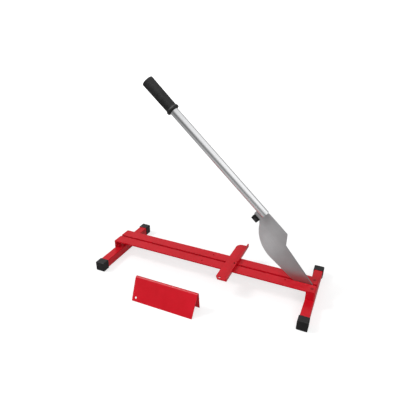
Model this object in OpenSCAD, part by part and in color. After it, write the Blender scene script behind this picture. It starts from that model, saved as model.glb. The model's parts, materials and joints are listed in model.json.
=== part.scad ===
// Guillotine cutter for laminate and vinyl floor planks.
// Two steel rails with a slot between them stand on two square-tube feet. A lever blade hinged
// in the slot shears the plank, a fence squares it, and a loose stand carries its far end.
// +X runs along the rails towards the pivot, +Y is the back, +Z is up.
// The origin is on the floor, under the middle of the whole set.

/* [Rails] */
// Length of the rails, over the bent-down ends
rail_l = 500; // [460:1:560]
// Width of each rail's top strip
rail_w = 25.8; // [24:0.2:32]
// Height of the cutting surface above the floor
rail_h = 43; // [41:0.5:48]
// Gap between the rails, where the blade passes
slot_w = 6; // [5.6:0.1:8]
// Thickness of the rail steel
steel_t = 3; // [2:0.5:3]
// Depth of the bar under each rail beside the slot
bar_h = 12; // [8:1:13]

/* [Feet] */
// Width of the square foot tube
foot_w = 20; // [18:1:22]
// Wall of the foot tube
foot_wall = 1.5; // [1:0.1:2.5]
// Reach of the feet in front of the slot
foot_front = 102; // [90:1:120]
// Reach of the feet behind the slot
foot_back = 109; // [90:1:120]
// Length of an end cap's sleeve
cap_l = 18.5; // [10:0.5:25]
// Wall of an end cap's sleeve
cap_wall = 1.5; // [0.8:0.1:1.5]

/* [Fence] */
// Place of the stop face along the rails
fence_x = 317.5; // [312:0.5:330]
// Width of the fence along the rails
fence_w = 27.5; // [24:0.5:34]
// Reach of the fence in front of the slot
fence_front = 70.5; // [50:0.5:90]
// Reach of the fence behind the slot
fence_back = 86; // [50:1:95]
// Height of the stop lip above the rails
lip_h = 8.6; // [6:0.1:14]

/* [Pivot] */
// Place of the pivot along the rails
pivot_x = 484.5; // [482:0.5:486]
// Height of the pivot above the floor
pivot_z = 32; // [31.5:0.1:32]
// Diameter of the pivot bolt
pivot_d = 6; // [5:0.5:6]

/* [Lever] */
// Angle of the lever above the floor at rest
lever_angle = 42.25; // [0:0.25:80]
// Offset of the lever tube's axis above the pivot, square to the lever
lever_v = 36.6; // [34:0.1:38]
// Outer diameter of the lever tube
lever_d = 18; // [17:0.1:19]
// Wall of the lever tube
lever_wall = 1.5; // [1:0.1:1.5]
// Distance from the pivot to the tube's lower end, along the lever
lever_start = 186.3; // [186:0.1:188]
// Distance from the pivot to the grip's far end, along the lever
lever_end = 553.3; // [450:0.1:650]
// Length of the grip
grip_l = 81; // [70:1:120]
// Diameter of the grip at its far end
grip_d = 26; // [24:0.1:34]
// Diameter of the grip beside its collar
grip_neck_d = 24.4; // [23:0.1:33]
// Diameter of the collar at the grip's lower end
collar_d = 28; // [26:0.1:38]

/* [Blade] */
// Thickness of the blade
blade_t = 4; // [3:0.1:4.4]
// Radius of the curved cutting edge
edge_r = 87.6; // [86:0.1:89]
// Radius of the boss around the pivot
boss_r = 9.5; // [9:0.1:10]

/* [Stop bumper] */
// Length of the rubber stop along the lever
bumper_l = 15.5; // [15:0.5:16]
// Height of the rubber stop
bumper_h = 11; // [10:0.5:12]
// Width of the rubber stop across the blade
bumper_w = 8; // [7:0.5:14]

/* [Plank support] */
// Length of the loose support
support_l = 147; // [100:1:200]
// Depth of the support's footprint
support_d = 41; // [38:1:60]
// Depth of the flat strip along its top
support_top = 6; // [4:0.5:12]
// Sheet thickness of the support
support_t = 2; // [1:0.1:3]

/* [Hidden] */
$fn = 64;

paint = "firebrick";
plastic = [0.13, 0.13, 0.13];
zinc = "silver";

// Feet: the tubes stand on the wall of their caps
cap_end = 2;
foot_top = cap_wall + foot_w;

// Rails
bend_r = 5;                       // outer radius of the bent legs
leg_round = 4.5;                  // radius of a leg's corners, seen from above
relief = 8;                       // the slot bars start this far from a rail's left end
ear_x = [478, 494];               // the pivot brackets' ends
weld_gap = 0.5;                   // between a slot bar and its pivot bracket
screw_x = 490.5;                  // countersunk screws through the strips
screw_y = 16.5;
spare_holes = [[252.5, 16], [236.5, -17], [431, -9]];
spare_d = 4;
fence_screw_x = 13.5;             // from the fence's stop face
fence_screw_y = 15.5;
fence_screw_d = 5;
bracket_screw_d = 4;
bracket_head_d = 8;
screw_head_h = 2;
socket_af = 2.5;                  // hexagon sockets
socket_h = 1.2;
nut_af = 7;                       // M4 nuts
nut_h = 3.2;

// Pivot stack, from the slot outwards on each side
bracket_t = 2;
bracket_leg = 5;
bracket_w = 22;
washer_t = 1;
washer_y = slot_w / 2 + bracket_leg;
head_y = washer_y + washer_t;
head_h = 3.5;
pivot_af = 10;
pivot_fit = 0.05;                 // radial clearance of the blade on its bolt
hole_fit = 0.1;                   // radial clearance of a bolt in a plain hole

// Fence
notch_w = 5;
notch_d = 8.5;
fence_hole = [18.5, 6.7];         // from the stop face, from the front end
fence_hole_d = 6;
lip_over = 2;                     // the lip passes the plate's back end by this
fence_thread = 2.5;               // depth of the screws in the fence plate

// Lever and blade outline: u runs up the lever from the pivot, v is square to it, up and back
tube_r = lever_d / 2;
edge_centre = [108.9, 64.9];
heel = [40, -18];                 // where the cutting edge starts, near the pivot
blade_high = 44.6;                // the blade's edge beside the tube's end
tang_w = 14;
tang_end = 245;
rivets_u = [212, 234];
rivet_d = 5;
tab_end = 203.3;
bumper_u = 185;
bumper_v = 8.8;
tab_v = 11;
bumper_screw_at = [192.7, 14.3];
bumper_screw_d = 4;

// Support
support_at = [132, -163];         // its left end and its front edge, from the slot frame
support_bend = 4;
support_hole_d = 5;
support_rear = 6.3;               // how far the rear leaf leans out
support_hole = [12.3, 8.1];       // from the left end, up the front leaf
support_trim = 5;                 // cut off the front leaf's lower left corner

// The set's middle, seen from the slot frame
middle = [rail_l / 2, (foot_back + support_at[1]) / 2];

// Points of the arc that rounds corner b, between its neighbours a and c, with radius r
function corner(a, b, c, r) =
    let (
        p = (a - b) / norm(a - b),
        q = (c - b) / norm(c - b),
        half = acos(max(-1, min(1, p * q))) / 2,
        m = (p + q) / norm(p + q),
        o = b + m * r / sin(half),
        s = b + p * r / tan(half) - o,
        e = b + q * r / tan(half) - o,
        turn = s[0] * e[1] - s[1] * e[0] > 0 ? 1 : -1,
        sweep = 180 - 2 * half,
        n = max(2, ceil(sweep / 9)))
    [for (i = [0:n])
        let (t = turn * sweep * i / n)
        o + [s[0] * cos(t) - s[1] * sin(t), s[0] * sin(t) + s[1] * cos(t)]];

// Outline through the points [x, y, corner radius]
function rounded(pts) =
    let (n = len(pts))
    [for (i = [0:n - 1])
        let (
            a = pts[(i + n - 1) % n],
            b = pts[i],
            c = pts[(i + 1) % n])
        each b[2] > 0
            ? corner([a[0], a[1]], [b[0], b[1]], [c[0], c[1]], b[2])
            : [[b[0], b[1]]]];

module rounded_box(w, h, r)
    polygon(rounded([[0, 0, r], [w, 0, r], [w, h, r], [0, h, r]]));

// Moves the slot frame (left rail end, slot centre, floor) to the part's own frame
module base() translate([-middle[0], -middle[1], 0]) children();

// Extrudes a shape drawn in X and Z from y0 to y1
module across(y0, y1) translate([0, y1, 0]) rotate([90, 0, 0]) linear_extrude(y1 - y0) children();

// A point of the drawn shape as a place in X and Z
function across_at(p) = [p[0], 0, p[1]];

// Turns what is drawn for the front (-1) to the back (1)
module on_side(side) mirror([0, side > 0 ? 1 : 0, 0]) children();

module hexagon(af) circle(d = af / cos(30), $fn = 6);

// u and v of the lever become X and Z
module lever() base() translate([pivot_x, 0, pivot_z]) rotate([0, lever_angle, 0]) rotate(180) children();

// The pivot's place in the slot frame
module at_pivot() base() translate([pivot_x, 0, pivot_z]) children();

// Flat bar between the legs; side is -1 for the front rail and 1 for the back rail
module rail(side) base() color(paint) difference() {
    on_side(side) translate([bend_r, -slot_w / 2 - rail_w, rail_h - steel_t])
        cube([rail_l - 2 * bend_r, rail_w, steel_t]);
    translate([screw_x, side * screw_y, 0]) countersunk(bracket_screw_d + 3 * hole_fit);
    translate([fence_x - fence_screw_x, side * fence_screw_y, 0])
        cylinder(d = fence_screw_d + 3 * hole_fit, h = rail_h + 1);
    for (h = spare_holes)
        translate([h[0], h[1], 0]) cylinder(d = spare_d, h = rail_h + 1);
}

// Bent leg welded to a rail's end, at the left end (-1) or the right end (1)
module leg(end, side) base() color(paint)
    translate([end > 0 ? rail_l : 0, 0, 0]) mirror([end > 0 ? 1 : 0, 0, 0]) on_side(side) intersection() {
        top = rail_h - steel_t;
        front = -slot_w / 2 - rail_w;
        back = -slot_w / 2;
        across(front, back) polygon(rounded([
            [0, foot_top, 0], [0, rail_h, bend_r], [bend_r, rail_h, 0], [bend_r, top, 0],
            [steel_t, top, bend_r - steel_t], [steel_t, foot_top, 0]]));
        linear_extrude(rail_h) polygon(rounded([
            [0, front, leg_round], [bend_r, front, 0], [bend_r, back, 0], [0, back, leg_round]]));
    }

// Bar on edge, welded under a rail beside the slot
module slot_bar(side) base() color(paint) on_side(side)
    translate([relief, -slot_w / 2 - steel_t, rail_h - steel_t - bar_h])
        cube([ear_x[0] - weld_gap - relief, steel_t, bar_h]);

// Upright plate that closes the right end between a rail's outer edge and the foot
module end_plate(side) base() color(paint) on_side(side) {
    front = -slot_w / 2 - rail_w;
    left = rail_l - foot_w;
    right = rail_l - steel_t;
    top = rail_h - steel_t;
    across(front, front + steel_t) polygon(rounded([
        [left, foot_top, 0], [right, foot_top, 0], [right, top, 2.5], [left, top, 0]]));
}

// Countersunk screw or its hole, from below up to the rail's top
module countersunk(d) {
    shank = 10;
    translate([0, 0, rail_h - shank]) cylinder(d = d, h = shank);
    translate([0, 0, rail_h - screw_head_h]) cylinder(d1 = d, d2 = bracket_head_d, h = screw_head_h);
}

module foot_tube(x) base() color(paint)
    translate([x, 0, cap_wall]) across(cap_end - foot_front, foot_back - cap_end) difference() {
        rounded_box(foot_w, foot_w, 2);
        translate([foot_wall, foot_wall])
            rounded_box(foot_w - 2 * foot_wall, foot_w - 2 * foot_wall, 0.5);
    }

// Cap on a foot tube that starts at x, with its closed end at y, on the front (-1) or back (1)
module cap(x, y, side) base() color(plastic) translate([x - cap_wall, y, 0]) on_side(side) {
    outer = foot_w + 2 * cap_wall;
    across(0, cap_end) rounded_box(outer, outer, 2.5);
    across(cap_end, cap_l) difference() {
        rounded_box(outer, outer, 2.5);
        translate([cap_wall, cap_wall]) rounded_box(foot_w, foot_w, 2);
    }
}

module fence() base() color(paint) difference() {
    union() {
        translate([0, 0, rail_h]) linear_extrude(steel_t)
            polygon(rounded([
                [fence_x - fence_w, 8 - fence_front, 1.5], [fence_x - fence_w + 6.5, -fence_front, 1.5],
                [fence_x, -fence_front, 0], [fence_x, fence_back - lip_over, 0],
                [fence_x - fence_w, fence_back - lip_over, 14]]));
        translate([fence_x - steel_t, -fence_front, rail_h])
            cube([steel_t, fence_front + fence_back, lip_h]);
    }
    translate([fence_x - notch_d, -notch_w / 2, rail_h - 1]) cube([notch_d + 1, notch_w, lip_h + 2]);
    translate([fence_x - fence_hole[0], fence_hole[1] - fence_front, rail_h - 1])
        cylinder(d = fence_hole_d, h = steel_t + 2);
    for (y = [-fence_screw_y, fence_screw_y])
        translate([fence_x - fence_screw_x, y, rail_h - 1])
            cylinder(d = fence_screw_d, h = 1 + fence_thread);
}

// Hexagon screws from under the strips into the fence
module fence_screws() base() color(zinc)
    for (y = [-fence_screw_y, fence_screw_y])
        translate([fence_x - fence_screw_x, y, rail_h - steel_t - head_h]) {
            linear_extrude(head_h) hexagon(8);
            cylinder(d = fence_screw_d, h = head_h + steel_t + fence_thread);
        }

// Angle screwed under a rail, whose thick leg carries the pivot bolt
module pivot_bracket(side) base() color(paint) difference() {
    low = foot_top + 0.5;
    top = rail_h - steel_t;
    on_side(side) translate([ear_x[0], -slot_w / 2, 0]) {
        translate([0, -bracket_leg, low]) cube([ear_x[1] - ear_x[0], bracket_leg, top - low]);
        translate([0, -bracket_w, top - bracket_t]) cube([ear_x[1] - ear_x[0], bracket_w, bracket_t]);
    }
    translate([pivot_x, 0, pivot_z]) across(-rail_w, rail_w) circle(d = pivot_d + 2 * hole_fit);
    translate([screw_x, side * screw_y, 0])
        cylinder(d = bracket_screw_d + 3 * hole_fit, h = rail_h);
}

module bracket_screws() base() color(paint)
    for (side = [-1, 1])
        translate([screw_x, side * screw_y, 0]) difference() {
            countersunk(bracket_screw_d);
            translate([0, 0, rail_h - socket_h]) linear_extrude(2 * socket_h) hexagon(socket_af);
        }

module bracket_nuts() base() color(zinc)
    for (side = [-1, 1])
        translate([screw_x, side * screw_y, rail_h - steel_t - bracket_t - nut_h])
            linear_extrude(nut_h) difference() {
                hexagon(nut_af);
                circle(d = bracket_screw_d);
            }

module pivot_bolt() at_pivot() color(zinc) {
    across(-head_y - head_h, -head_y) hexagon(pivot_af);
    across(-head_y, head_y + head_h + 1) circle(d = pivot_d);
}

module pivot_washers() at_pivot() color(zinc)
    for (y = [-head_y, washer_y])
        across(y, y + washer_t) difference() {
            circle(d = 11);
            circle(d = pivot_d + 2 * hole_fit);
        }

module pivot_nut() at_pivot() color(zinc)
    across(head_y, head_y + head_h) difference() {
        hexagon(pivot_af);
        circle(d = pivot_d);
    }

// Thin rings that keep the blade in the middle of the slot
module pivot_spacers() at_pivot() color(zinc) {
    ring_t = (slot_w - blade_t) / 2 - 0.3;
    for (y = [-slot_w / 2, slot_w / 2 - ring_t])
        across(y, y + ring_t) difference() {
            circle(d = 12);
            circle(d = pivot_d + 2 * hole_fit);
        }
}

// Flat outline of the blade in u and v
module blade_outline() {
    tang_low = lever_v - tang_w / 2;
    shoulder = lever_start - 3;
    // the curved edge, from where it leaves the straight to the tip of the belly
    edge_steps = 16;
    edge_from = -94.1;
    edge_to = -43;
    edge = [for (i = [0:edge_steps])
        let (a = edge_from + (edge_to - edge_from) * i / edge_steps)
        edge_centre + edge_r * [cos(a), sin(a)]];
    // the boss, from below the back edge round to the straight edge's tangent
    boss_steps = 14;
    boss_from = 150;
    boss_to = 360 + atan2(heel[1], heel[0]) - acos(boss_r / norm(heel));
    boss = [for (i = [0:boss_steps])
        let (a = boss_from + (boss_to - boss_from) * i / boss_steps)
        boss_r * [cos(a), sin(a)]];
    polygon(rounded(concat(
        [[heel[0], heel[1], 6]],
        [for (p = edge) [p[0], p[1], 0]],
        [
            [178, 11.6, 1.5], [185.6, 18.5, 0.5], [185.6, tab_v, 1],
            [199.6, tab_v, 1], [199.6, 19, 0], [tab_end, 19.6, 1.2], [tab_end, tang_low, 0],
            [tang_end, tang_low, 2], [tang_end, tang_low + tang_w, 2],
            [shoulder, tang_low + tang_w, 0], [shoulder, blade_high, 1.5],
            [125.3, blade_high, 4], [106.6, 24, 3], [2, 10.1, 5]],
        [for (p = boss) [p[0], p[1], 0]])));
}

module blade() color([0.66, 0.66, 0.67]) lever() difference() {
    across(-blade_t / 2, blade_t / 2) blade_outline();
    across(-blade_t, blade_t) {
        circle(d = pivot_d + 2 * pivot_fit);
        for (u = rivets_u) translate([u, lever_v]) circle(d = rivet_d);
        translate(bumper_screw_at) circle(d = bumper_screw_d);
    }
}

// Tube, slotted on its underside over the blade's tab
module lever_tube() color([0.8, 0.8, 0.82]) lever() difference() {
    translate([lever_start, 0, lever_v]) rotate([0, 90, 0])
        cylinder(d = lever_d, h = lever_end - 2.8 - lever_start);
    translate([lever_start - 1, 0, lever_v]) rotate([0, 90, 0])
        cylinder(d = lever_d - 2 * lever_wall, h = lever_end);
    across(-blade_t / 2 - 0.1, blade_t / 2 + 0.1)
        translate([lever_start - 1, lever_v - lever_d])
            square([tab_end + 1.5 - lever_start, lever_d]);
    across(-lever_d, lever_d)
        for (u = rivets_u) translate([u, lever_v]) circle(d = rivet_d);
}

module lever_rivets() color([0.8, 0.8, 0.82]) lever()
    across(-tube_r - 0.1, tube_r + 0.1)
        for (u = rivets_u) translate([u, lever_v]) circle(d = rivet_d);

module handle_grip() color(plastic) lever()
    translate([lever_end - grip_l, 0, lever_v]) rotate([0, 90, 0]) rotate_extrude($fn = 96)
        polygon(rounded([
            [tube_r, 0, 0], [collar_d / 2, 0, 1.5], [collar_d / 2, 6, 2], [grip_neck_d / 2, 8, 2],
            [grip_d / 2, grip_l, 1.5], [0, grip_l, 0], [0, grip_l - 2.5, 0],
            [tube_r, grip_l - 2.5, 0]]));

module stop_bumper() color(plastic) lever() difference() {
    across(-bumper_w / 2, bumper_w / 2) translate([bumper_u, bumper_v])
        rounded_box(bumper_l, bumper_h, 1);
    across(-blade_t / 2, blade_t / 2) translate([bumper_u - 1, tab_v])
        square([bumper_l + 2, bumper_h]);
    across(-bumper_w, bumper_w) translate(bumper_screw_at) circle(d = bumper_screw_d);
}

// The lever's own frame is turned half round, so its +Y side is the front
module bumper_screw() color([0.3, 0.3, 0.3]) lever() translate(across_at(bumper_screw_at)) {
    across(-bumper_w / 2 - nut_h, bumper_w / 2) circle(d = bumper_screw_d);
    across(bumper_w / 2, bumper_w / 2 + screw_head_h) circle(d = 7);
}

module bumper_nut() color([0.3, 0.3, 0.3]) lever() translate(across_at(bumper_screw_at))
    across(-bumper_w / 2 - nut_h, -bumper_w / 2) difference() {
        hexagon(nut_af);
        circle(d = bumper_screw_d);
    }

// Folded sheet that stands on its two long edges
module plank_support() {
    lean = support_d - support_top - support_rear;
    front_t = support_t / sin(atan2(rail_h, lean));
    rear_t = support_t / sin(atan2(rail_h, support_rear));
    under = rail_h - support_t;
    inner_bend = support_bend - support_t;
    base() color(paint) translate([support_at[0], support_at[1], 0]) difference() {
        rotate([90, 0, 90]) linear_extrude(support_l) polygon(rounded([
            [0, 0, 0], [lean, rail_h, support_bend],
            [lean + support_top, rail_h, support_bend], [support_d, 0, 0],
            [support_d - rear_t, 0, 0],
            [lean + support_top + support_rear * support_t / rail_h - rear_t, under, inner_bend],
            [lean - lean * support_t / rail_h + front_t, under, inner_bend],
            [front_t, 0, 0]]));
        translate([support_hole[0], 0, 0]) rotate([atan2(rail_h, lean) - 90, 0, 0])
            translate([0, 3 * support_t, support_hole[1]]) rotate([90, 0, 0])
                cylinder(d = support_hole_d, h = 6 * support_t);
        // slanted trim, from nothing at the ridge to its full width at the floor
        translate([0, lean, 0]) across(-lean - 1, 0)
            polygon([[-1, -1], [support_trim, -1], [support_trim, 0], [0, rail_h - support_bend], [-1, rail_h]]);
    }
}

rail(-1);  // front_rail
rail(1);  // back_rail
leg(-1, -1);  // front_left_leg
leg(-1, 1);  // back_left_leg
leg(1, -1);  // front_right_leg
leg(1, 1);  // back_right_leg
slot_bar(-1);  // front_slot_bar
slot_bar(1);  // back_slot_bar
end_plate(-1);  // front_end_plate
end_plate(1);  // back_end_plate
foot_tube(0);  // left_foot_tube
foot_tube(rail_l - foot_w);  // right_foot_tube
cap(0, -foot_front, -1);  // front_left_cap
cap(0, foot_back, 1);  // back_left_cap
cap(rail_l - foot_w, -foot_front, -1);  // front_right_cap
cap(rail_l - foot_w, foot_back, 1);  // back_right_cap
fence();
fence_screws();
pivot_bracket(-1);  // front_pivot_bracket
pivot_bracket(1);  // back_pivot_bracket
bracket_screws();
bracket_nuts();
pivot_bolt();
pivot_washers();
pivot_nut();
pivot_spacers();
blade();
lever_tube();
lever_rivets();
handle_grip();
stop_bumper();
bumper_screw();
bumper_nut();
plank_support();
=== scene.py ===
"""Looks of the guillotine plank cutter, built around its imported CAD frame.

Steel sheet and tube pieces take their CAD node's mesh, get rounded and slightly worn edges, and
stand for that node. The grip and the welds are built here. All materials are node-based, and
their sizes are in metres. The lever's pieces are kept in the lever's own frame, so the grain of
the metal runs along the tube. +X runs along the rails to the pivot, +Y is the back, +Z is up.
"""

import json
import math

import bmesh
import bpy
from mathutils import Matrix, Vector, noise


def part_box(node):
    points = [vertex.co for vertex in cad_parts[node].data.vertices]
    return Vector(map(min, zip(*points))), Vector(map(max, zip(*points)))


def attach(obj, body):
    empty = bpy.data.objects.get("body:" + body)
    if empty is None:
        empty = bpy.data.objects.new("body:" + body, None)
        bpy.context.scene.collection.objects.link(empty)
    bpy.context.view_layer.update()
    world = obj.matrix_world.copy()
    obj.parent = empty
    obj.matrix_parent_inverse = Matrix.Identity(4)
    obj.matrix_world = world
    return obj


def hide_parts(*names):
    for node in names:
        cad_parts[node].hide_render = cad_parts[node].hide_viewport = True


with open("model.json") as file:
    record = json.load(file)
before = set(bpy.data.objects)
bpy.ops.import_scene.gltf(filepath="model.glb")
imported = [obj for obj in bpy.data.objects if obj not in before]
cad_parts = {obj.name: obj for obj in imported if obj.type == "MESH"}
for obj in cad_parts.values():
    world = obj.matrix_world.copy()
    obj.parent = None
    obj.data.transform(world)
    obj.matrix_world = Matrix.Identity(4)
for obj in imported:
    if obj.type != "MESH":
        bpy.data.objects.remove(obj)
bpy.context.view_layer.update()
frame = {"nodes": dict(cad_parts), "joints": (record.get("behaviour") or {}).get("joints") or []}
scene = bpy.context.scene

MM = 0.001
SHARP_ANGLE = math.radians(38)  # edges that turn by more than this are sharp
FLAT_ANGLE = math.radians(0.6)  # faces that turn by less than this are one face


# ---------------------------------------------------------------- the lever's own frame

LEVER_ANGLE = math.radians(42.25)  # above the floor at rest
LEVER_V = 36.6 * MM  # from the pivot to the tube's axis, square to the lever
LEVER_END = 553.3 * MM  # from the pivot to the grip's far end
GRIP_LENGTH = 81 * MM
GRIP_STEPS = 96  # facets round the grip
PIVOT = Vector(next(j for j in frame["joints"] if j["type"] == "hinge")["pos_m"])

UP_LEVER = Vector((-math.cos(LEVER_ANGLE), 0, math.sin(LEVER_ANGLE)))
OFF_LEVER = Vector((math.sin(LEVER_ANGLE), 0, math.cos(LEVER_ANGLE)))


def lever_frame():
    """X runs up the lever from the pivot, Z is square to it, away from the floor."""
    side = OFF_LEVER.cross(UP_LEVER)
    turn = Matrix((UP_LEVER, side, OFF_LEVER)).transposed().to_4x4()
    return Matrix.Translation(PIVOT) @ turn


LEVER = lever_frame()


# ---------------------------------------------------------------- node helpers


def new_material(name):
    material = bpy.data.materials.new(name)
    material.use_nodes = True
    return material, material.node_tree, material.node_tree.nodes["Principled BSDF"]


def add(tree, kind, settings=None, **inputs):
    """A new node. A socket among the inputs is linked, anything else becomes its value."""
    made = tree.nodes.new("ShaderNode" + kind)
    for key, value in (settings or {}).items():
        setattr(made, key, value)
    for key, value in inputs.items():
        socket = made.inputs[key.replace("_", " ")]
        if isinstance(value, bpy.types.NodeSocket):
            tree.links.new(value, socket)
        else:
            socket.default_value = value
    return made


def stretched(tree, scale):
    """Object coordinates, pressed together by scale along each axis."""
    place = add(tree, "TexCoord").outputs["Object"]
    return add(tree, "Mapping", Vector=place, Scale=scale).outputs["Vector"]


def cloud(tree, scale, detail=3.0, rough=0.55, stretch=(1, 1, 1)):
    """Soft noise from 0 to 1, with features of about 1 / scale metres."""
    place = stretched(tree, stretch)
    made = add(tree, "TexNoise", Vector=place, Scale=scale, Detail=detail, Roughness=rough)
    return made.outputs["Fac"]


def span(tree, value, low, high, to_low=0.0, to_high=1.0):
    """Takes low..high of a value to to_low..to_high, and holds it there outside."""
    made = add(tree, "MapRange", {"clamp": True})
    tree.links.new(value, made.inputs["Value"])
    made.inputs["From Min"].default_value = low
    made.inputs["From Max"].default_value = high
    made.inputs["To Min"].default_value = to_low
    made.inputs["To Max"].default_value = to_high
    return made.outputs["Result"]


def maths(tree, operation, a, b):
    made = add(tree, "Math", {"operation": operation})
    for socket, value in zip(made.inputs, (a, b)):
        if isinstance(value, bpy.types.NodeSocket):
            tree.links.new(value, socket)
        else:
            socket.default_value = value
    return made.outputs["Value"]


def mixed(tree, amount, a, b):
    """Colour a where amount is 0, b where it is 1."""
    made = add(tree, "Mix", {"data_type": "RGBA"})
    tree.links.new(amount, made.inputs["Factor"])
    for socket, value in ((made.inputs[6], a), (made.inputs[7], b)):
        if isinstance(value, bpy.types.NodeSocket):
            tree.links.new(value, socket)
        else:
            socket.default_value = (*value, 1)
    return made.outputs[2]


def bumped(tree, shader, height, strength, depth):
    made = add(tree, "Bump", Height=height, Strength=strength, Distance=depth)
    tree.links.new(made.outputs["Normal"], shader.inputs["Normal"])


def edge_amount(tree):
    """1 on the rounded edges, 0 on the faces between them."""
    return add(tree, "Attribute", {"attribute_name": "edge"}).outputs["Fac"]


def worn(tree, scale, detail, low, high, to_low, to_high):
    """Wear along the edges, in patches: a cloud's low..high gives to_low..to_high there."""
    patches = span(tree, cloud(tree, scale, detail), low, high, to_low, to_high)
    return maths(tree, "MULTIPLY", edge_amount(tree), patches)


# ---------------------------------------------------------------- materials


def enamel(name, deep, bright):
    """Stove enamel on steel: uneven tone, orange peel, thin and dark along its rubbed edges."""
    material, tree, shader = new_material(name)
    tone = span(tree, cloud(tree, 22), 0.3, 0.7)
    film = mixed(tree, tone, deep, bright)
    specks = span(tree, cloud(tree, 900, 2), 0.62, 0.74, 0, 0.3)
    film = mixed(tree, specks, film, (0.66, 0.03, 0.04))
    rubbed = worn(tree, 260, 4, 0.4, 0.62, 0.1, 0.75)
    film = mixed(tree, rubbed, film, (0.30, 0.008, 0.012))
    chipped = worn(tree, 420, 5, 0.68, 0.71, 0, 0.8)
    film = mixed(tree, chipped, film, (0.17, 0.10, 0.10))
    tree.links.new(film, shader.inputs["Base Color"])
    scratches = span(tree, cloud(tree, 90, 3, 0.5, (1, 14, 14)), 0.66, 0.72, 0, 0.12)
    film_gloss = span(tree, cloud(tree, 60, 5, 0.65), 0.3, 0.75, 0.30, 0.46)
    gloss = maths(tree, "ADD", film_gloss, scratches)
    tree.links.new(gloss, shader.inputs["Roughness"])
    shader.inputs["Specular IOR Level"].default_value = 0.18
    bumped(tree, shader, cloud(tree, 520, 2), 0.12, 0.2 * MM)
    return material


def black_moulding():
    """Moulded cap plastic: fine spark grain, dull, scuffed paler at the corners."""
    material, tree, shader = new_material("black_moulding")
    tone = span(tree, cloud(tree, 70, 4), 0.3, 0.7)
    skin = mixed(tree, tone, (0.006, 0.005, 0.006), (0.013, 0.012, 0.013))
    scuff = worn(tree, 380, 4, 0.4, 0.65, 0.1, 0.8)
    skin = mixed(tree, scuff, skin, (0.045, 0.045, 0.044))
    tree.links.new(skin, shader.inputs["Base Color"])
    tree.links.new(span(tree, cloud(tree, 160, 4), 0.3, 0.7, 0.46, 0.64), shader.inputs["Roughness"])
    shader.inputs["Specular IOR Level"].default_value = 0.22
    bumped(tree, shader, cloud(tree, 2600, 2), 0.35, 0.12 * MM)
    return material


def black_rubber(name, pale):
    """Soft rubber: mottled with handling, matt, with a fine leathery skin."""
    material, tree, shader = new_material(name)
    tone = span(tree, cloud(tree, 120, 5, 0.65), 0.35, 0.7)
    skin = mixed(tree, tone, (0.007, 0.007, 0.007), (pale, pale, pale * 1.03))
    dust = span(tree, cloud(tree, 700, 3), 0.6, 0.75, 0, 0.4)
    skin = mixed(tree, dust, skin, (0.07, 0.069, 0.067))
    tree.links.new(skin, shader.inputs["Base Color"])
    tree.links.new(span(tree, cloud(tree, 220, 4), 0.3, 0.7, 0.5, 0.72), shader.inputs["Roughness"])
    shader.inputs["Specular IOR Level"].default_value = 0.25
    skin_grain = add(tree, "TexVoronoi", Vector=stretched(tree, (1, 1, 1)), Scale=1100.0)
    bumped(tree, shader, skin_grain.outputs["Distance"], 0.4, 0.12 * MM)
    return material


def drawn_steel(name, dark, pale, rough, grain, tarnish, painted_falloff):
    """Bare or plated steel whose grain runs along X, with fine scratches and faint tarnish.

    The last argument is painted shade: the place the metal is brightest at, where its shine
    starts to fall off and ends doing so, as distances from there, and how much of it is lost. The
    colour is darkened away from that spot and stands in for dimmer reflections.
    """
    material, tree, shader = new_material(name)
    shader.inputs["Metallic"].default_value = 1.0
    lines = cloud(tree, 40, 6, 0.7, (1, grain, grain))
    metal = mixed(tree, span(tree, lines, 0.25, 0.75), dark, pale)
    haze = span(tree, cloud(tree, 18, 3, 0.5), 0.42, 0.7, 0, tarnish)
    metal = mixed(tree, haze, metal, tuple(0.7 * c for c in dark))
    brightest, near, far, lost = painted_falloff
    place = add(tree, "TexCoord").outputs["Object"]
    away = add(tree, "VectorMath", {"operation": "DISTANCE"}, Vector=place)
    away.inputs[1].default_value = brightest
    # painted shade: the metal's colour darkens with distance from its brightest spot
    painted_shade = span(tree, away.outputs["Value"], near, far, 0, lost)
    metal = mixed(tree, painted_shade, metal, tuple(0.5 * c for c in dark))
    bright_edge = worn(tree, 300, 3, 0.3, 0.6, 0.3, 0.9)
    metal = mixed(tree, bright_edge, metal, tuple(min(1, 1.15 * c) for c in pale))
    tree.links.new(metal, shader.inputs["Base Color"])
    grained = span(tree, lines, 0.3, 0.7, rough - 0.04, rough + 0.05)
    hazed = maths(tree, "MULTIPLY", haze, 0.25)
    tree.links.new(maths(tree, "ADD", grained, hazed), shader.inputs["Roughness"])
    shader.inputs["Specular Tint"].default_value = (0.35, 0.35, 0.36, 1)
    bumped(tree, shader, lines, 0.05, 0.05 * MM)
    return material


def hardware(name, dark, pale):
    """Plated screws and nuts: bright, with a cloudy yellowish-grey passivation."""
    material, tree, shader = new_material(name)
    shader.inputs["Metallic"].default_value = 1.0
    metal = mixed(tree, span(tree, cloud(tree, 400, 4), 0.3, 0.7), dark, pale)
    rub = maths(tree, "MULTIPLY", edge_amount(tree), 0.7)
    metal = mixed(tree, rub, metal, tuple(min(1, 1.3 * c) for c in pale))
    tree.links.new(metal, shader.inputs["Base Color"])
    tree.links.new(span(tree, cloud(tree, 700, 3), 0.3, 0.7, 0.28, 0.48), shader.inputs["Roughness"])
    bumped(tree, shader, cloud(tree, 1800, 2), 0.1, 0.05 * MM)
    return material


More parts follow.
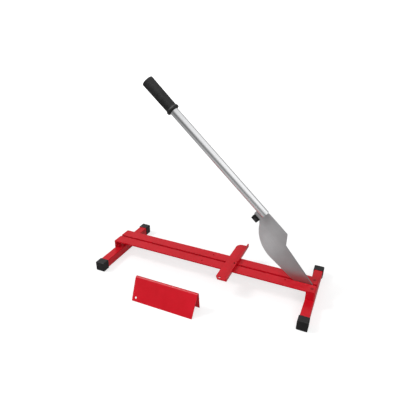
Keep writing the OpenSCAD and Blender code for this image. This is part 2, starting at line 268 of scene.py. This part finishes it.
ENAMEL = enamel("red_enamel", (0.59, 0.004, 0.013), (0.68, 0.007, 0.020))
# a darker copy of the enamel, painted shade for the bracket screw heads: it stands in for the shadow of
# a recess
PAINTED_SHADE_ENAMEL = enamel("painted_shade_enamel", (0.30, 0.002, 0.005), (0.40, 0.003, 0.008))
MOULDING = black_moulding()
GRIP_RUBBER = black_rubber("grip_rubber", 0.020)
STOP_RUBBER = black_rubber("stop_rubber", 0.014)
# painted shade for the blade and the tube: the spot where each looks brightest, where the darkening
# starts and ends, and how strong it gets
BLADE_PAINTED_SHADE = ((0.150, 0, -0.004), 0.010, 0.090, 0.75)
TUBE_PAINTED_SHADE = ((0.200, 0, LEVER_V), 0.050, 0.260, 0.45)
BLADE_STEEL = drawn_steel(
    "blade_steel", (0.70, 0.69, 0.70), (0.80, 0.79, 0.80), 0.38, 16, 0.5, BLADE_PAINTED_SHADE
)
TUBE_METAL = drawn_steel(
    "tube_metal", (0.80, 0.805, 0.815), (0.92, 0.925, 0.935), 0.24, 30, 0.2, TUBE_PAINTED_SHADE
)
ZINC = hardware("zinc_plate", (0.44, 0.44, 0.43), (0.66, 0.65, 0.62))
DARK_STEEL = hardware("dark_oxide", (0.05, 0.05, 0.052), (0.11, 0.11, 0.115))


# ---------------------------------------------------------------- mesh helpers


def place_mesh(name, bm, body, material, frame_of=None):
    """Makes an object of bm, whose points are in frame_of, or in the part's frame."""
    mesh = bpy.data.meshes.new(name)
    bm.to_mesh(mesh)
    bm.free()
    made = bpy.data.objects.new(name, mesh)
    scene.collection.objects.link(made)
    mesh.materials.append(material)
    for polygon in mesh.polygons:
        polygon.use_smooth = True
    mesh.set_sharp_from_angle(angle=SHARP_ANGLE)
    if frame_of is not None:
        made.matrix_world = frame_of
    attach(made, body)
    return made


def joined(nodes):
    """The nodes' meshes in one bmesh. Where two of them meet face to face, the seam is gone."""
    bm = bmesh.new()
    for node in nodes:
        bm.from_mesh(frame["nodes"][node].data)
    bmesh.ops.remove_doubles(bm, verts=bm.verts, dist=0.002 * MM)
    seams = {round(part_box(nodes[0])[side].x, 6) for side in (0, 1)} if len(nodes) > 1 else set()
    upright = [f for f in bm.faces if abs(f.normal.x) > 0.9]
    inside = [f for f in upright if {round(v.co.x, 6) for v in f.verts} <= seams]
    bmesh.ops.delete(bm, geom=inside, context="FACES")
    return bm


def softened(nodes, body, material, width, segments=3, frame_of=None):
    """Stands for CAD nodes: their mesh with its edges rounded by width, and marked as edges."""
    nodes = [nodes] if isinstance(nodes, str) else nodes
    bm = joined(nodes)
    if frame_of is not None:
        bm.transform(frame_of.inverted())
    bmesh.ops.dissolve_limit(bm, angle_limit=FLAT_ANGLE, verts=bm.verts, edges=bm.edges)
    edge_mark = bm.faces.layers.float.new("edge")
    closed = [e for e in bm.edges if len(e.link_faces) == 2]
    sharp = [e for e in closed if e.calc_face_angle(0) > SHARP_ANGLE]
    rounded = bmesh.ops.bevel(
        bm, geom=sharp, offset=width, segments=segments, profile=0.5, affect="EDGES", clamp_overlap=True
    )
    for face in rounded["faces"]:
        face[edge_mark] = 1.0
    bmesh.ops.recalc_face_normals(bm, faces=bm.faces)
    made = place_mesh(nodes[0] + "_finished", bm, body, material, frame_of)
    steady = made.modifiers.new("even_shading", "WEIGHTED_NORMAL")
    steady.keep_sharp = True
    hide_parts(*nodes)
    return made


def turned(profile, steps, ripple):
    """A turned shape about X, through points (x, radius); ripple adds to the radius."""
    bm = bmesh.new()
    rings = []
    for x, radius in profile:
        ring = []
        for i in range(steps if radius > 0 else 1):
            angle = 2 * math.pi * i / steps
            r = radius + ripple(x, radius, angle)
            ring.append(bm.verts.new((x, r * math.cos(angle), r * math.sin(angle))))
        rings.append(ring)
    for a, b in zip(rings, rings[1:]):
        for i in range(steps if len(a) + len(b) > 2 else 0):
            j = (i + 1) % steps
            corners = [a[i % len(a)], a[j % len(a)], b[j % len(b)], b[i % len(b)]]
            bm.faces.new(dict.fromkeys(corners))
    bmesh.ops.remove_doubles(bm, verts=bm.verts, dist=0.001 * MM)
    bmesh.ops.recalc_face_normals(bm, faces=bm.faces)
    return bm


def grip():
    """The moulded grip: collar, slightly uneven body, dished end."""
    start = LEVER_END - GRIP_LENGTH

    def ripple(x, radius, angle):
        if radius < 11 * MM or x - start < 1 * MM:
            return 0
        around = (3 * math.cos(angle), 3 * math.sin(angle))
        return 0.06 * MM * (noise.noise((x * 240, *around)) - 1)

    profile = [(0, 9), (0, 12.8), (0.3, 13.5), (1.2, 14), (4.6, 14)]
    profile += [(5.5, 13.5), (6.3, 12.7), (7.6, 12.25)]
    profile += [(8 + 1.15 * i, 12.2 + 0.013 * i) for i in range(62)]
    profile += [(79.6, 12.96), (80.4, 12.6), (80.9, 11.8), (81, 11), (81, 9.6), (80.8, 6.8), (80.3, 6.3)]
    profile += [(80.3, 0), (78.5, 0), (78.5, 9), (0, 9)]
    bm = turned([(start + x * MM, radius * MM) for x, radius in profile], GRIP_STEPS, ripple)
    axis = LEVER @ Matrix.Translation((0, 0, LEVER_V))
    made = place_mesh("grip_moulded", bm, "lever", GRIP_RUBBER, axis)
    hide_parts("handle_grip")


def weld(name, corner, length, lean):
    """A bead along +Y from a corner, in the angle between a foot and the leg that stands on it."""
    pitch = 1.3 * MM
    steps = 4 * int(length / pitch)
    section = [(-0.4, -0.4), (1, -0.4), (0.95, 0.2), (0.6, 0.6), (0.2, 0.95), (-0.4, 1)]
    bm = bmesh.new()
    rings = []
    for i in range(steps + 1):
        y = length * i / steps
        scales = 0.15 * math.cos(2 * math.pi * y / pitch)
        unevenness = 0.3 * noise.noise((400 * y, 90 * corner.x, 0))
        size = 1.9 * MM * (0.4 if i in (0, steps) else 1 + scales + unevenness)
        rings.append([bm.verts.new(corner + Vector((lean * size * u, y, size * v))) for u, v in section])
    for a, b in zip(rings, rings[1:]):
        for k in range(len(section)):
            bm.faces.new((a[k - 1], a[k], b[k], b[k - 1]))
    bm.faces.new(rings[0])
    bm.faces.new(rings[-1])
    bmesh.ops.recalc_face_normals(bm, faces=bm.faces)
    place_mesh(name, bm, "base", ENAMEL)


# ---------------------------------------------------------------- base

FOOT_TOP = 21.5 * MM
WELD_X = 247 * MM  # the legs' inner faces
WELD_LENGTH = 23 * MM
FRONT_WELD_Y = -0.5 * MM
BACK_WELD_Y = 31.5 * MM

for side in ("front", "back"):
    rail = [f"{side}_rail", f"{side}_left_leg", f"{side}_right_leg"]
    softened(rail, "base", ENAMEL, 0.5 * MM)
    softened(f"{side}_slot_bar", "base", ENAMEL, 0.3 * MM)
    softened(f"{side}_end_plate", "base", ENAMEL, 0.3 * MM)
for node in ("left_foot_tube", "right_foot_tube"):
    softened(node, "base", ENAMEL, 0.3 * MM)
softened("fence", "base", ENAMEL, 0.5 * MM)
for end, x, lean in (("left", -WELD_X, 1), ("right", WELD_X, -1)):
    weld(f"front_{end}_weld", Vector((x, FRONT_WELD_Y, FOOT_TOP)), WELD_LENGTH, lean)
    weld(f"back_{end}_weld", Vector((x, BACK_WELD_Y, FOOT_TOP)), WELD_LENGTH, lean)
for node in ("front_pivot_bracket", "back_pivot_bracket"):
    softened(node, "base", ENAMEL, 0.3 * MM)
# the bracket screws get the darker enamel: painted shade of a recess, not a different paint
softened("bracket_screws", "base", PAINTED_SHADE_ENAMEL, 0.2 * MM, 2)
for node in ("bracket_nuts", "pivot_bolt", "pivot_nut", "pivot_washers"):
    softened(node, "base", ENAMEL, 0.2 * MM, 2)
for node in ("front_left_cap", "back_left_cap", "front_right_cap", "back_right_cap"):
    softened(node, "base", MOULDING, 0.8 * MM, 4)
for node in ("fence_screws", "pivot_spacers"):
    softened(node, "base", ZINC, 0.2 * MM, 2)


# ---------------------------------------------------------------- lever

softened("blade", "lever", BLADE_STEEL, 0.3 * MM, 2, LEVER)
softened("lever_tube", "lever", TUBE_METAL, 0.3 * MM, 2, LEVER)
softened("lever_rivets", "lever", TUBE_METAL, 0.1 * MM, 2, LEVER)
softened("stop_bumper", "lever", STOP_RUBBER, 0.7 * MM, 3, LEVER)
softened("bumper_screw", "lever", DARK_STEEL, 0.3 * MM, 2, LEVER)
softened("bumper_nut", "lever", DARK_STEEL, 0.3 * MM, 2, LEVER)
grip()


# ---------------------------------------------------------------- support

softened("plank_support", "support", ENAMEL, 0.45 * MM)


# ---------------------------------------------------------------- camera, light and floor

CAMERA_AT = (0.28827, -0.68945, 0.55371)
CAMERA_TURN = math.radians(22.185)
CAMERA_TILT = math.radians(63.512)
CAMERA_ROLL = math.radians(1.680)
CAMERA_LENS = 33.50
FLOOR_RADIUS = 6
FLOOR_DROP = 0.5 * MM  # keeps the floor just clear of the feet


def make_camera():
    """The photograph's angle: from the front right, looking down on the rails."""
    data = bpy.data.cameras.new("camera")
    data.lens = CAMERA_LENS
    data.sensor_width = 36
    data.dof.use_dof = False
    camera = bpy.data.objects.new("camera", data)
    scene.collection.objects.link(camera)
    turn = Matrix.Rotation(CAMERA_TURN, 4, "Z")
    tilt = Matrix.Rotation(CAMERA_TILT, 4, "X")
    roll = Matrix.Rotation(CAMERA_ROLL, 4, "Z")
    camera.matrix_world = Matrix.Translation(CAMERA_AT) @ turn @ tilt @ roll
    scene.camera = camera


def softbox(name, at, towards, size, watts, lights=True, mirrored=True):
    """An area lamp; it can be left out of the plain light or out of the reflections."""
    data = bpy.data.lights.new(name, "AREA")
    data.shape = "RECTANGLE"
    data.size, data.size_y = size
    data.energy = watts
    lamp = bpy.data.objects.new(name, data)
    lamp.visible_diffuse = lights
    lamp.visible_glossy = mirrored
    scene.collection.objects.link(lamp)
    aim = (Vector(towards) - Vector(at)).to_track_quat("-Z", "Y")
    lamp.matrix_world = Matrix.Translation(at) @ aim.to_matrix().to_4x4()


def make_world():
    """A white backdrop for the camera; light from above, dim at the horizon, fuller in gloss."""
    world = bpy.data.worlds.new("studio")
    scene.world = world
    world.use_nodes = True
    tree = world.node_tree
    up = add(tree, "SeparateXYZ", Vector=add(tree, "TexCoord").outputs["Generated"]).outputs["Z"]
    ray = add(tree, "LightPath").outputs
    share = span(tree, ray["Is Glossy Ray"], 0, 1, 0.43, 1)
    light = maths(tree, "MULTIPLY", span(tree, up, 0.2, 0.6, 0.25, 1.15), share)
    strength = maths(tree, "MAXIMUM", light, maths(tree, "MULTIPLY", ray["Is Camera Ray"], 1.1))
    tree.links.new(strength, tree.nodes["Background"].inputs["Strength"])
    tree.nodes["Background"].inputs["Color"].default_value = (1, 1, 1, 1)


def make_floor():
    """A wide pale floor, lit from within so shadows stay soft; in the metal it looks dimmer."""
    bm = bmesh.new()
    bmesh.ops.create_circle(bm, cap_ends=True, segments=96, radius=FLOOR_RADIUS)
    mesh = bpy.data.meshes.new("floor")
    bm.to_mesh(mesh)
    bm.free()
    floor = bpy.data.objects.new("floor", mesh)
    scene.collection.objects.link(floor)
    material, tree, shader = new_material("pale_floor")
    ray = add(tree, "LightPath").outputs
    tone = mixed(tree, span(tree, cloud(tree, 3, 3), 0.3, 0.7), (0.44, 0.44, 0.44), (0.47, 0.47, 0.47))
    tone = mixed(tree, ray["Is Glossy Ray"], tone, (0, 0, 0))
    tree.links.new(tone, shader.inputs["Base Color"])
    shader.inputs["Roughness"].default_value = 0.9
    shader.inputs["Specular IOR Level"].default_value = 0.1
    shader.inputs["Emission Color"].default_value = (1, 1, 1, 1)
    place = add(tree, "TexCoord").outputs["Object"]
    distance = add(tree, "VectorMath", {"operation": "LENGTH"}, Vector=place).outputs["Value"]
    mirrored = maths(tree, "MULTIPLY", ray["Is Glossy Ray"], span(tree, distance, 0.4, 1.6, 0.52, 0.22))
    backdrop = maths(tree, "MULTIPLY", ray["Is Camera Ray"], span(tree, distance, 0.5, 2.5, 0.68, 1.1))
    tree.links.new(maths(tree, "ADD", mirrored, backdrop), shader.inputs["Emission Strength"])
    mesh.materials.append(material)
    floor.location.z = -FLOOR_DROP


make_camera()
make_world()
make_floor()
softbox("key", (-2.1, -0.9, 2.3), (0, 0, 0.1), (0.7, 0.7), 40)
softbox("fill", (1.2, -1.55, 1.15), (0.1, 0, 0.1), (1.6, 1.2), 19, mirrored=False)
softbox("glint", (-0.95, -0.35, 2.2), (0, -0.15, 0), (1.4, 0.5), 80, lights=False)
scene.view_settings.view_transform = "Standard"
